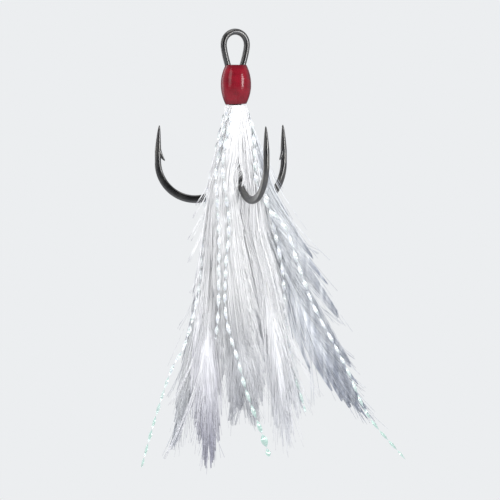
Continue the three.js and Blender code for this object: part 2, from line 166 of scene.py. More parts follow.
class Look:
    """A Principled material with short calls for its nodes."""

    def __init__(self, name, **values):
        self.material = bpy.data.materials.new(name)
        self.material.use_nodes = True
        self.tree = self.material.node_tree
        self.shader = self.tree.nodes["Principled BSDF"]
        for key, value in values.items():
            self.shader.inputs[key.replace("_", " ")].default_value = value

    def node(self, kind, **settings):
        made = self.tree.nodes.new("ShaderNode" + kind)
        for key, value in settings.items():
            setattr(made, key, value)
        return made

    def link(self, a, b):
        self.tree.links.new(a, b)

    def place(self, scale=(1, 1, 1), turn=(0, 0, 0)):
        """Object coordinates in millimetres, multiplied by scale and turned."""
        coord = self.node("TexCoord")
        mapping = self.node("Mapping")
        mapping.inputs["Scale"].default_value = [s / MM for s in scale]
        mapping.inputs["Rotation"].default_value = turn
        self.link(coord.outputs["Object"], mapping.inputs["Vector"])
        return mapping.outputs["Vector"]

    def noise(self, where, size=1.0, detail=3.0):
        noise = self.node("TexNoise")
        noise.inputs["Scale"].default_value = size
        noise.inputs["Detail"].default_value = detail
        self.link(where, noise.inputs["Vector"])
        return noise.outputs["Fac"]

    def ramp(self, value, *stops):
        """A colour or grey ramp; each stop is (position, colour)."""
        ramp = self.node("ValToRGB")
        elements = ramp.color_ramp.elements
        while len(elements) < len(stops):
            elements.new(0.5)
        for element, (position, colour) in zip(elements, stops):
            element.position = position
            element.color = (*colour, 1) if len(colour) == 3 else colour
        self.link(value, ramp.inputs["Fac"])
        return ramp.outputs["Color"]

    def mix(self, share, a, b, blend="MIX"):
        """Mixes two colours; each of the three is a socket or a plain value."""
        mix = self.node("Mix", data_type="RGBA", blend_type=blend)
        for socket, value in ((mix.inputs[0], share), (mix.inputs[6], a), (mix.inputs[7], b)):
            if isinstance(value, bpy.types.NodeSocket):
                self.link(value, socket)
            elif isinstance(value, (int, float)):
                socket.default_value = value
            else:
                socket.default_value = (*value, 1)
        return mix.outputs[2]

    def maths(self, operation, a, b):
        made = self.node("Math", operation=operation)
        self.link(a, made.inputs[0])
        self.link(b, made.inputs[1])
        return made.outputs[0]

    def between(self, value, low, high, to_low=0.0, to_high=1.0):
        """The value's range from low to high, mapped to the other range and held there."""
        made = self.node("MapRange")
        for key, number in zip(("From Min", "From Max", "To Min", "To Max"), (low, high, to_low, to_high)):
            made.inputs[key].default_value = number
        self.link(value, made.inputs["Value"])
        return made.outputs["Result"]

    def bump(self, height, depth, strength=1.0):
        bump = self.node("Bump")
        bump.inputs["Strength"].default_value = strength
        bump.inputs["Distance"].default_value = depth * MM
        self.link(height, bump.inputs["Height"])
        self.link(bump.outputs["Normal"], self.shader.inputs["Normal"])

    def set(self, **sockets):
        for key, socket in sockets.items():
            self.link(socket, self.shader.inputs[key.replace("_", " ")])

    def thread_turns(self, per_mm, distortion, detail):
        """Bands for the turns of a thread wound round Z, tilted a little as a thread is."""
        turns = self.node("TexWave", wave_type="BANDS", bands_direction="Z")
        turns.inputs["Scale"].default_value = per_mm
        turns.inputs["Distortion"].default_value = distortion
        turns.inputs["Detail"].default_value = detail
        self.link(self.place((1, 1, 1), THREAD_TILT), turns.inputs["Vector"])
        return turns.outputs["Fac"]


def black_nickel():
    """Black nickel plate: a satin dark grey, slightly uneven, with a few lighter worn patches."""
    look = Look("black_nickel", Metallic=1.0)
    fine = look.noise(look.place((1.6, 1.6, 1.6)), 1.0, 3.0)
    broad = look.noise(look.place((0.6, 0.6, 0.6)), 1.0, 2.0)
    tint = look.ramp(broad, (0.35, (0.105, 0.105, 0.108)), (0.65, (0.145, 0.142, 0.137)))
    worn = look.between(fine, 0.60, 0.80, 0.0, 0.30)
    rough = look.between(broad, 0.3, 0.7, 0.29, 0.38)
    look.set(Base_Color=look.mix(worn, tint, (0.24, 0.22, 0.20)), Roughness=rough)
    look.bump(broad, 0.004, 0.05)
    return look.material


def braze_metal():
    """A rough plated run of braze."""
    look = Look("braze_metal", Metallic=1.0)
    fine = look.noise(look.place((5, 5, 2)), 1.0, 4.0)
    look.set(
        Base_Color=look.ramp(fine, (0.3, (0.10, 0.09, 0.08)), (0.7, (0.22, 0.20, 0.17))),
        Roughness=look.between(fine, 0.3, 0.7, 0.25, 0.5),
    )
    look.bump(fine, 0.02, 0.5)
    return look.material


def tying_thread():
    """Waxed red thread wound round the shank, with each turn about 0.2 mm wide."""
    look = Look("tying_thread", Roughness=0.6)
    turns = look.thread_turns(1.6, 0.6, 2.0)
    fibre = look.noise(look.place((6, 6, 18)), 1.0, 3.0)
    shade = look.mix(fibre, (0.30, 0.012, 0.03), (0.48, 0.03, 0.06))
    # Painted shade: the dark part of each band darkens the groove between the thread's turns.
    look.set(Base_Color=look.mix(turns, (0.12, 0.004, 0.012), shade))
    look.bump(turns, 0.05, 0.8)
    return look.material


def red_lacquer():
    """Deep red lacquer with painted shade that darkens it to maroon at its edges and towards its top and
    bottom rims, with the thread faintly seen in it.
    """
    look = Look(
        "red_lacquer",
        Specular_IOR_Level=0.04,
        Coat_Roughness=0.20,
        Coat_IOR=1.40,
    )
    clouds = look.noise(look.place((0.55, 0.55, 0.9)), 1.0, 3.0)
    colour = look.ramp(clouds, (0.30, (0.135, 0.0015, 0.008)), (0.68, (0.235, 0.004, 0.015)))
    turns = look.between(look.thread_turns(1.4, 1.2, 1.0), 0, 1, 0, 0.10)
    colour = look.mix(turns, colour, (0.07, 0.0015, 0.005))
    facing = look.node("LayerWeight")
    facing.inputs["Blend"].default_value = 0.35
    # Painted shade: the colour darkens to maroon where the surface turns away from the view, at the head's
    # edges.
    edge = look.between(facing.outputs["Facing"], 0.2, 0.8, 0.0, 0.9)
    colour = look.mix(edge, colour, (0.045, 0.0008, 0.006))
    coat = look.between(facing.outputs["Facing"], 0.20, 0.50, 1.0, 0.03)
    height = look.node("SeparateXYZ")
    look.link(look.place(), height.inputs[0])
    # Painted shade: the colour darkens to maroon towards the top and bottom rims, where the barrel turns
    # away.
    for start, end in ((HEAD_TOP - 0.8, HEAD_TOP), (HEAD_BOTTOM + 0.8, HEAD_BOTTOM)):
        rim = look.between(height.outputs["Z"], start, end, 0.0, 0.55)
        colour = look.mix(rim, colour, (0.05, 0.0008, 0.006))
    rough = look.between(look.noise(look.place((2, 2, 2))), 0.3, 0.7, 0.25, 0.40)
    look.set(Base_Color=colour, Roughness=rough, Coat_Weight=coat)
    look.bump(look.noise(look.place((1.0, 1.0, 1.4)), 1.0, 1.0), 0.03, 0.15)
    return look.material


def quill_horn():
    """Pale horn with fine streaks along the quill."""
    look = Look("quill_horn", Roughness=0.4, Coat_Weight=0.2)
    streak = look.noise(look.place((6, 6, 0.4)), 1.0, 4.0)
    look.set(Base_Color=look.ramp(streak, (0.3, (0.74, 0.73, 0.70)), (0.7, (0.90, 0.90, 0.89))))
    look.bump(streak, 0.01, 0.4)
    return look.material


def hackle(name, root, tip, barb_fade, feather_fade, dark, streak):
    """Feather barbs. The colour goes from root to tip along each barb from barb_fade on, and along
    the feather from feather_fade on; the tip colour is painted shade on the thin barb ends and the
    feather's tip. A barb's tone makes it lighter or as dark as dark, and streak is how far the
    colours run into each other in streaks."""
    look = Look(
        "hackle_" + name,
        Roughness=0.5,
        Sheen_Weight=0.3,
        Sheen_Roughness=0.4,
    )
    uv = look.node("UVMap", uv_map="Vane")
    split = look.node("SeparateXYZ")
    look.link(uv.outputs["UV"], split.inputs[0])
    along_barb = look.between(split.outputs["X"], barb_fade, 1.0)
    along_feather = look.between(split.outputs["Y"], feather_fade, 1.0)
    streaks = look.noise(look.place((1.6, 1.6, 0.12)), 1.0, 4.0)
    # Painted shade: the tip colour comes in towards the ends of the barbs and the feather's tip.
    shade = look.maths("MAXIMUM", along_barb, along_feather)
    shade = look.maths("ADD", shade, look.between(streaks, 0.38, 0.68, -streak, streak))
    colour = look.mix(look.between(shade, 0, 1), root, tip)
    tone = look.node("Attribute", attribute_name="tone")
    dim = look.between(tone.outputs["Fac"], 0.0, 1.0, dark, 1.0)
    grey = look.node("CombineColor")
    for socket in grey.inputs:
        look.link(dim, socket)
    look.set(Base_Color=look.mix(1.0, colour, grey.outputs[0], "MULTIPLY"))
    return look.material


def pearl_tinsel():
    """Pearlescent film: bright, with a thin-film tint and a mint cast towards its end."""
    look = Look(
        "pearl_tinsel",
        Metallic=0.25,
        Roughness=0.2,
        Coat_Weight=1.0,
        Coat_Roughness=0.04,
        Thin_Film_Thickness=420.0,
        Thin_Film_IOR=1.45,
    )
    uv = look.node("UVMap", uv_map="Strand")
    split = look.node("SeparateXYZ")
    look.link(uv.outputs["UV"], split.inputs[0])
    # Painted glints: the glint noise puts brighter and duller patches into the film's pearl colour, over its
    # pearl tint.
    glint = look.noise(look.place((2.2, 2.2, 2.2)), 1.0, 2.0)
    pearl = look.ramp(
        glint, (0.30, (0.52, 0.62, 0.60)), (0.48, (0.86, 0.89, 0.89)), (0.66, (0.72, 0.75, 0.84))
    )
    mint = look.between(split.outputs["Y"], 0.0, 1.0)
    look.set(Base_Color=look.mix(mint, pearl, (0.46, 0.62, 0.57)))
    return look.material


# ------------------------------------------------------------------ mesh helpers


def unit(v):
    v = np.asarray(v, float)
    return v / np.linalg.norm(v, axis=-1, keepdims=True)


def around(azimuth, radius, z):
    """A point on a circle round the Z axis; azimuth in degrees, 0 is +X."""
    a = math.radians(azimuth)
    return np.array([radius * math.cos(a), radius * math.sin(a), z])


def spline(points, shares):
    """Centripetal Catmull-Rom through the points, at shares from 0 to 1 of the row of points."""
    p = np.asarray(points, float)
    last = len(p) - 1
    p = np.vstack([2 * p[0] - p[1], p, 2 * p[-1] - p[-2]])
    knots = np.sqrt(np.linalg.norm(np.diff(p, axis=0), axis=1))
    made = []
    for share in np.atleast_1d(shares):
        i = min(int(share * last), last - 1)
        w = share * last - i
        a, b, c, d = p[i : i + 4]
        ka, kb, kc = np.maximum(knots[i : i + 3], 1e-6)
        start = ((b - a) / ka - (c - a) / (ka + kb) + (c - b) / kb) * kb
        end = ((c - b) / kb - (d - b) / (kb + kc) + (d - c) / kc) * kb
        made.append(
            b
            + start * w
            + (3 * (c - b) - 2 * start - end) * w**2
            + (start + end - 2 * (c - b)) * w**3
        )
    return np.array(made)


def travel(points):
    """The direction of travel at each point of a row."""
    return unit(np.gradient(np.asarray(points, float), axis=0))


def distance_along(points):
    """How far along the row each point lies."""
    return np.concatenate([[0], np.cumsum(np.linalg.norm(np.diff(points, axis=0), axis=1))])


def new_mesh(name, corners, faces, material, smooth=True):
    """An object from corners in millimetres."""
    data = bpy.data.meshes.new(name)
    data.from_pydata((np.asarray(corners, float) * MM).tolist(), [], faces)
    data.validate()
    data.materials.append(material)
    data.polygons.foreach_set("use_smooth", [smooth] * len(data.polygons))
    obj = bpy.data.objects.new(name, data)
    bpy.context.scene.collection.objects.link(obj)
    return obj


def tube_faces(rings, sides, first=0, ends=True):
    """Faces of a closed tube whose corners are `rings` rows of `sides`."""
    faces = []
    for r in range(rings - 1):
        for s in range(sides):
            a = first + r * sides + s
            b = first + r * sides + (s + 1) % sides
            faces.append((a, b, b + sides, a + sides))
    if ends:
        faces.append(tuple(first + s for s in reversed(range(sides))))
        faces.append(tuple(first + (rings - 1) * sides + s for s in range(sides)))
    return faces


def section_rows(places, side, wide, deep, sides, square=2.0):
    """Corner rows of a tube. `wide` is the half size along the side direction, `deep` across it;
    `square` over 2 flattens the section's four sides."""
    places = np.asarray(places, float)
    along = travel(places)
    side = np.asarray(side, float)
    side = unit(side - along * np.sum(side * along, axis=1, keepdims=True))
    across = np.cross(along, side)
    angle = np.arange(sides) * 2 * math.pi / sides
    power = 2.0 / np.broadcast_to(square, len(places))[:, None]
    x = np.sign(np.cos(angle)) * np.abs(np.cos(angle)) ** power
    y = np.sign(np.sin(angle)) * np.abs(np.sin(angle)) ** power
    wide = np.broadcast_to(wide, len(places))[:, None]
    deep = np.broadcast_to(deep, len(places))[:, None]
    return (
        places[:, None, :]
        + (x * wide)[:, :, None] * side[:, None, :]
        + (y * deep)[:, :, None] * across[:, None, :]
    )


def rod(name, places, side, wide, deep, material, sides=24, square=2.0):
    rows = section_rows(places, side, wide, deep, sides, square)
    return new_mesh(name, rows.reshape(-1, 3), tube_faces(len(rows), sides), material)


def union(obj, *others):
    """Joins other objects to obj as one closed body and removes them."""
    for other in others:
        step = obj.modifiers.new("join", "BOOLEAN")
        step.operation = "UNION"
        step.solver = "EXACT"
        step.object = other
    graph = bpy.context.evaluated_depsgraph_get()
    whole = bpy.data.meshes.new_from_object(obj.evaluated_get(graph))
    obj.modifiers.clear()
    obj.data = whole
    for other in others:
        bpy.data.objects.remove(other)
    return obj


# ------------------------------------------------------------------ tinsel

TIE_RADIUS = 1.42
TIE_TINSEL_RADIUS = 1.52
QUILL_TOP = -9.35
TINSEL_TOP = -9.45
TINSEL_DIAMETER = 0.7
TINSEL_SAMPLES = 400
FILM_HALF_THICKNESS = 0.022
HALF_TURN = 2.3
UNEVEN_TWIST = 0.8
MINT_FROM = -48.0
MINT_OVER = 12.0

# How narrow a strand gets by its end, and how much its last 3 mm then spread.
TINSEL_ENDS = {"left": (0.6, 1.0), "right": (0.6, 1.0), "centre": (0.85, 1.7)}
PLAIN_TINSEL_END = (0.75, 1.0)

# Azimuth where each strand leaves the head, the wing that it lies on, and its route.
STRANDS = {
    "left": (165, "left_wing", [
        (-2.35, -0.3, -12.6), (-3.4, -0.95, -17.5), (-4.4, -1.2, -22.3), (-5.0, -1.35, -28),
        (-5.3, -1.4, -32.6), (-6.0, -1.4, -39), (-8.3, -1.5, -47.7), (-10.2, -1.6, -51.2),
        (-12.8, -1.8, -58.8), (-15.1, -2.0, -67)]),
    "centre_left": (225, "left_wing", [
        (-1.9, -1.75, -12.6), (-2.75, -2.3, -17), (-3.2, -2.75, -20.5), (-2.95, -3.1, -25),
        (-2.7, -3.15, -30), (-2.75, -3.15, -36), (-2.8, -3.15, -41), (-3.2, -3.1, -46.5)]),
    "centre": (255, "left_wing", [
        (-1.1, -2.25, -12.6), (-1.9, -2.85, -16.5), (-2.1, -3.05, -19.5), (-1.6, -3.15, -23.5),
        (-1.1, -3.15, -28), (-1.6, -3.15, -34.9), (-1.7, -3.1, -41.9), (-1.0, -3.1, -45.6),
        (0.2, -3.1, -49.5), (1.5, -3.05, -54.3), (2.9, -3.0, -58.3), (4.3, -3.0, -62),
        (5.3, -3.0, -65.2)]),
    "right": (345, "right_wing", [
        (2.6, -0.95, -12.5), (3.0, -1.65, -17), (3.3, -1.65, -21.5), (5.4, -1.55, -25.6),
        (7.9, -1.4, -28.8), (10, -1.2, -34.8), (12.4, -1.0, -41.2), (16.1, -0.9, -48.1),
        (18, -0.9, -51.9), (21.1, -1.0, -58.7), (27.1, -1.2, -65.8)]),
    "short_right": (15, "right_wing", [
        (2.4, -0.02, -12.5), (3.3, -0.3, -18), (4.9, -0.48, -24), (6.3, -0.6, -29.8),
        (7.4, -0.65, -35.5), (8.1, -0.65, -44.8), (9.3, -0.65, -51.5), (11.1, -0.65, -58.2)]),
    "back": (105, "back_wing", [
        (-0.7, 2.3, -12.5), (-1.2, 2.85, -18), (-1.7, 3.1, -24), (-2.2, 3.2, -32),
        (-2.9, 3.2, -42), (-3.4, 3.2, -52), (-4.4, 3.1, -60)]),
}


def film_half_width(name, run):
    """The film's half width along a strand: it narrows, ripples a little and ends in a point."""
    length = run[-1]
    narrow, broad_end = TINSEL_ENDS.get(name, PLAIN_TINSEL_END)
    taper = np.interp(run, (0, 0.35 * length, length), (0.9, 0.85, narrow))
    ripple = 1 + 0.08 * np.sin(run * 1.3)
    spread = np.interp(run, (length - 6, length - 3), (1, broad_end))
    half_width = TINSEL_DIAMETER / 2 * taper * ripple * spread
    half_width[-6:] *= np.linspace(1, 0.3, 6)
    return half_width


def twisted_strand(name, azimuth, wing, line, look):
    """A flat film ribbon twisted along its route."""
    route = np.array([around(azimuth, TIE_TINSEL_RADIUS, TINSEL_TOP), *line])
    places = spline(route, np.linspace(0, 1, TINSEL_SAMPLES))
    run = distance_along(places)
    length = run[-1]
    rng = np.random.default_rng(len(name) * 7 + int(azimuth))
    drift = np.interp(run, np.linspace(0, length, 12), rng.uniform(-1, 1, 12))
    angle = math.pi * run / HALF_TURN + UNEVEN_TWIST * drift + rng.uniform(0, math.pi)
    along = travel(places)
    flat = unit(np.cross(along, (0.0, 1.0, 0.0)))
    out = np.cross(along, flat)
    side = np.cos(angle)[:, None] * flat + np.sin(angle)[:, None] * out
    rows = section_rows(places, side, film_half_width(name, run), FILM_HALF_THICKNESS, 4, 1.0)
    strand = new_mesh("strand_" + name, rows.reshape(-1, 3), tube_faces(len(rows), 4), look, False)
    uv = strand.data.uv_layers.new(name="Strand")
    for loop in strand.data.loops:
        ring, corner = divmod(loop.vertex_index, 4)
        uv.data[loop.index].uv = (corner / 4, (MINT_FROM - places[ring][2]) / MINT_OVER)
    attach(strand, wing)
    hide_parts("tinsel_" + name)


def make_tinsel(film):
    for name, (azimuth, wing, line) in STRANDS.items():
        twisted_strand(name, azimuth, wing, line, film)


# ------------------------------------------------------------------ wires

WIRE_RADIUS = 0.5
HOOK_TURN = 22.5
SHANK_OFFSET = 0.62
BEND_RADIUS = 6.0
BEND_TOP = -18.2
TIP = -12.4
TIP_LEAN = 0.25
POINT_LENGTH = 3.9
POINT_TIP_RADIUS = 0.03
FORGED_IN_PLANE = 0.63
FORGED_ACROSS = 0.41
FORGED_SQUARENESS = 3.3
ROUND = 2.0
LEG_RADIUS = SHANK_OFFSET + 2 * BEND_RADIUS
SHANK_HEIGHTS = (-17.2, -14.0, -9.5)
SHANK_TOP = -5.3
SINGLE_SHANK_TOP = -3.6
WIRE_SIDES = 48

EYE_TOP = 2.6
EYE_HALF_WIDTH = 2.0
EYE_SHOULDER = 0.6
EYE_ARC_ANGLES = (0, 22, 45, 68)
EYE_SAMPLES = 110

# The eye's leg, as x beyond the shank or from the centre, and z.
EYE_FOOT = (0.16, -4.4)
EYE_LEG = [(1.1, -3.3), (1.42, -2.3), (1.72, -1.2), (1.93, -0.2)]

# The barb's centreline from its root in the point leg, as distance from the leg's centre and z.
BARB_LINE = [(0.05, -15.9), (-0.28, -16.75), (-0.62, -17.4), (-1.13, -18.08)]
BARB_ROOT_HALF_WIDTH = 0.46
BARB_ROOT_HALF_DEPTH = 0.30
BARB_TIP_HALF_WIDTH = 0.03
BARB_STEPS = 12

SINGLE_AZIMUTH = -90 + HOOK_TURN
RIGHT_AZIMUTH = 30 + HOOK_TURN
LEFT_AZIMUTH = 150 + HOOK_TURN


def hook_rows(azimuth, shank_top):
    """Places, side directions, half sizes and squareness from the point to the shank's top."""
    outward = around(azimuth, 1, 0)
    rows = []
    for share in np.linspace(0, 1, 22) ** 1.3:
        down = share * POINT_LENGTH
        lean = TIP_LEAN * (1 - down / (TIP - BEND_TOP)) ** 2
        radius = POINT_TIP_RADIUS + (WIRE_RADIUS - POINT_TIP_RADIUS) * share**0.55
        rows.append((around(azimuth, LEG_RADIUS - lean, TIP - down), outward, radius, radius, ROUND))
    for z in np.linspace(TIP - POINT_LENGTH - 0.4, BEND_TOP + 0.3, 4):
        rows.append((around(azimuth, LEG_RADIUS, z), outward, WIRE_RADIUS, WIRE_RADIUS, ROUND))
    for angle in np.linspace(0, math.pi, 46):
        forging = math.sin(angle) ** 0.6
        place = around(
            azimuth,
            SHANK_OFFSET + BEND_RADIUS * (1 + math.cos(angle)),
            BEND_TOP - BEND_RADIUS * math.sin(angle),
        )
        side = around(azimuth, math.cos(angle), -math.sin(angle))
        wide = WIRE_RADIUS + (FORGED_IN_PLANE - WIRE_RADIUS) * forging
        deep = WIRE_RADIUS + (FORGED_ACROSS - WIRE_RADIUS) * forging
        square = ROUND + (FORGED_SQUARENESS - ROUND) * forging
        rows.append((place, side, wide, deep, square))
    for z in (*SHANK_HEIGHTS, shank_top):
        rows.append((around(azimuth, SHANK_OFFSET, z), -outward, WIRE_RADIUS, WIRE_RADIUS, ROUND))
    return rows


def eye_rows():
    """The eye, from the left leg over the top to the right leg."""
    leg_x = SHANK_OFFSET * math.cos(math.radians(30))
    plane = SHANK_OFFSET * math.sin(math.radians(30))
    half = [(leg_x + EYE_FOOT[0], EYE_FOOT[1]), *EYE_LEG]
    rise = EYE_TOP - EYE_SHOULDER
    for angle in EYE_ARC_ANGLES:
        a = math.radians(angle)
        half.append((EYE_HALF_WIDTH * math.cos(a), EYE_SHOULDER + rise * math.sin(a)))
    left = [(-x, z) for x, z in half]
    outline = [(-leg_x, SHANK_TOP), *left, (0.0, EYE_TOP), *reversed(half), (leg_x, SHANK_TOP)]
    points = np.array([(x, plane, z) for x, z in outline])
    points = spline(points, np.linspace(0, 1, EYE_SAMPLES)[1:-1])
    turn = math.radians(HOOK_TURN)
    spin = np.array([
        [math.cos(turn), -math.sin(turn), 0],
        [math.sin(turn), math.cos(turn), 0],
        [0, 0, 1],
    ])
    places = points @ spin.T
    normal = spin @ np.array([0.0, 1.0, 0.0])
    sides = np.cross(normal, travel(places))
    return [(p, s, WIRE_RADIUS, WIRE_RADIUS, ROUND) for p, s in zip(places, sides)]


def untwisted(rows):
    """The rows' columns as arrays, with each side turned so that it follows the one before it."""
    places = np.array([r[0] for r in rows])
    along = travel(places)
    sides = [np.array(r[1], float) for r in rows]
    for i, heading in enumerate(along):
        sides[i] = unit(sides[i] - heading * (sides[i] @ heading))
        if i and sides[i] @ sides[i - 1] < 0:
            sides[i] = -sides[i]
    return places, np.array(sides), *(np.array([r[k] for r in rows]) for k in (2, 3, 4))


def wire(name, rows, look):
    places, sides, wide, deep, square = untwisted(rows)
    return rod(name, places, sides, wide, deep, look, WIRE_SIDES, square)


def barb(azimuth, look):
    """A thorn cut from the inner face of the point leg, pointing back to the bend."""
    points = np.array([around(azimuth, LEG_RADIUS + inset, z) for inset, z in BARB_LINE])
    share = np.linspace(0, 1, BARB_STEPS)
    places = spline(points, share)
    taper = (1 - share) ** 0.6
    wide = BARB_ROOT_HALF_WIDTH * taper + BARB_TIP_HALF_WIDTH
    deep = BARB_ROOT_HALF_DEPTH * taper + BARB_TIP_HALF_WIDTH
    side = np.tile(around(azimuth, 1, 0), (BARB_STEPS, 1))
    return rod("barb", places, side, wide, deep, look, 14, 2.4)


def make_wires():
    look = black_nickel()
    single = wire("single_wire", hook_rows(SINGLE_AZIMUTH, SINGLE_SHANK_TOP), look)
    union(single, barb(SINGLE_AZIMUTH, look))
    rows = hook_rows(LEFT_AZIMUTH, SHANK_TOP) + eye_rows()
    rows += hook_rows(RIGHT_AZIMUTH, SHANK_TOP)[::-1]
    double = wire("double_wire", rows, look)
    union(double, barb(LEFT_AZIMUTH, look), barb(RIGHT_AZIMUTH, look))
    for piece, node in ((single, "single_hook_wire"), (double, "double_hook_wire")):
        piece.data.materials.clear()
        piece.data.materials.append(look)
        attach(piece, "hook")
        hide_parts(node)


# ------------------------------------------------------------------ bound head

HEAD_TOP = -2.7
HEAD_BOTTOM = -9.0
HEAD_RADIUS = 2.43
HEAD_END_RADIUS = 1.66
HEAD_SIDES = 144
HEAD_EDGE_ROUNDING = 0.14
LACQUER = 0.12
BORE_RADIUS = 1.48
THREAD_PITCH = 0.33
RIDGE_HEIGHT = 0.0025
HEAD_TILT = 0.11


def barrel_radius(z, depth=0.0):
    middle = (HEAD_TOP + HEAD_BOTTOM) / 2
    half = (HEAD_TOP - HEAD_BOTTOM) / 2
    sagitta = HEAD_RADIUS - HEAD_END_RADIUS
    arc = (half**2 + sagitta**2) / (2 * sagitta)
    return HEAD_RADIUS - depth - (arc - np.sqrt(arc**2 - (z - middle) ** 2))


def lacquer_outside():
    """The shell's outer outline as (radius, z), from the axis at the top to the lower lip."""
    edge = HEAD_EDGE_ROUNDING
    end_radius = barrel_radius(HEAD_TOP - edge)
    quarter = np.linspace(0, math.pi / 2, 6)
    corner = [(end_radius - edge * (1 - math.cos(a)), edge * (1 - math.sin(a))) for a in quarter]
    outline = [(0.0, HEAD_TOP), (0.8, HEAD_TOP + 0.02)]
    outline += [(radius, HEAD_TOP - inset) for radius, inset in reversed(corner[1:])]
    outline += [(barrel_radius(z), z) for z in np.linspace(HEAD_TOP - edge, HEAD_BOTTOM + edge, 110)]
    outline += [(radius, HEAD_BOTTOM + inset) for radius, inset in corner[1:]]
    return outline


def lacquer_inside():
    """The shell's inner outline as (radius, z), from the lower lip to the axis at the top."""
    outline = [(BORE_RADIUS, HEAD_BOTTOM + 0.04)]
    for z in np.linspace(HEAD_BOTTOM + 0.3, HEAD_TOP - LACQUER, 12):
        outline.append((barrel_radius(z, LACQUER), z))
    outline.append((0.0, HEAD_TOP - LACQUER))
    return outline


def lacquer_relief(angle, z, drop):
    """The low ridges of the thread's turns under the coat, and the coat's broad unevenness."""
    turns = 2 * math.pi * (z / THREAD_PITCH) + angle
    lumps = 0.006 * np.sin(6 * angle + 1.9 * z) * np.sin(1.6 * z + 1.0)
    lumps += 0.014 * np.sin(3 * angle - 0.9 * z + 0.6)
    return math.sin(math.pi * drop) ** 0.5 * (RIDGE_HEIGHT * np.cos(turns) + lumps)


def make_lacquer():
    """The lacquer coat: a smooth barrel shell, open below, that leans a little to one side."""
    outside = lacquer_outside()
    profile = outside + lacquer_inside()
    angle = np.arange(HEAD_SIDES) * 2 * math.pi / HEAD_SIDES
    corners = []
    for i, (radius, z) in enumerate(profile):
        drop = np.clip((HEAD_TOP - z) / (HEAD_TOP - HEAD_BOTTOM), 0, 1)
        r = np.full(HEAD_SIDES, radius)
        if i < len(outside) and radius > 0.9:
            r += lacquer_relief(angle, z, drop)
        tilt = HEAD_TILT * drop * np.cos(angle) * radius / HEAD_RADIUS
        corners.append(np.column_stack([r * np.cos(angle), r * np.sin(angle), z + tilt]))
    faces = tube_faces(len(profile), HEAD_SIDES, ends=False)
    shell = new_mesh("lacquer_coat", np.concatenate(corners), faces, red_lacquer())
    weld_poles(shell)
    flip_outwards(shell)
    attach(shell, "hook")
    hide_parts("head_lacquer")


def weld_poles(obj):
    """Merges the rings that have shrunk to a point on the axis."""
    weld = obj.modifiers.new("weld", "WELD")
    weld.merge_threshold = 1e-7
    graph = bpy.context.evaluated_depsgraph_get()
    obj.data = bpy.data.meshes.new_from_object(obj.evaluated_get(graph))
    obj.modifiers.clear()


def flip_outwards(obj):
    mesh = bmesh.new()
    mesh.from_mesh(obj.data)
    bmesh.ops.recalc_face_normals(mesh, faces=mesh.faces)
    mesh.to_mesh(obj.data)
    mesh.free()


def dress_inner_nodes(horn, film):
    """The pieces inside the head and between the shanks keep their CAD shape."""
    looks = {
        "braze": braze_metal(),
        "thread": tying_thread(),
        "quill_butt": horn,
        "tinsel_butt": film,
    }
    for name, node in NODES.items():
        for start, look in looks.items():
            if name.startswith(start):
                node.data.materials.clear()
                node.data.materials.append(look)


# ------------------------------------------------------------------ feathers

FRONT = np.array([0.0, -1.0, 0.0])

# The quill ends at this share of the feather's length, and only barbs go on to the tip.
QUILL_SHARE = 0.86
QUILL_RADIUS = 0.15
QUILL_END_RADIUS = 0.035
QUILL_STEPS = 60

BARB_LINE_STEPS = 12
BARB_RADII = (0.045, 0.075)
BARBS_IN_A_WISP = 4
TIP_FROM = 0.87

# Where the barbs part round the front hook's bend.
PARTING_X = 0.35
PARTING_Z = -20.8
PARTING_WIDTH = 0.85
PARTING_HEIGHT = 1.9
PARTING_SHARE = 0.84
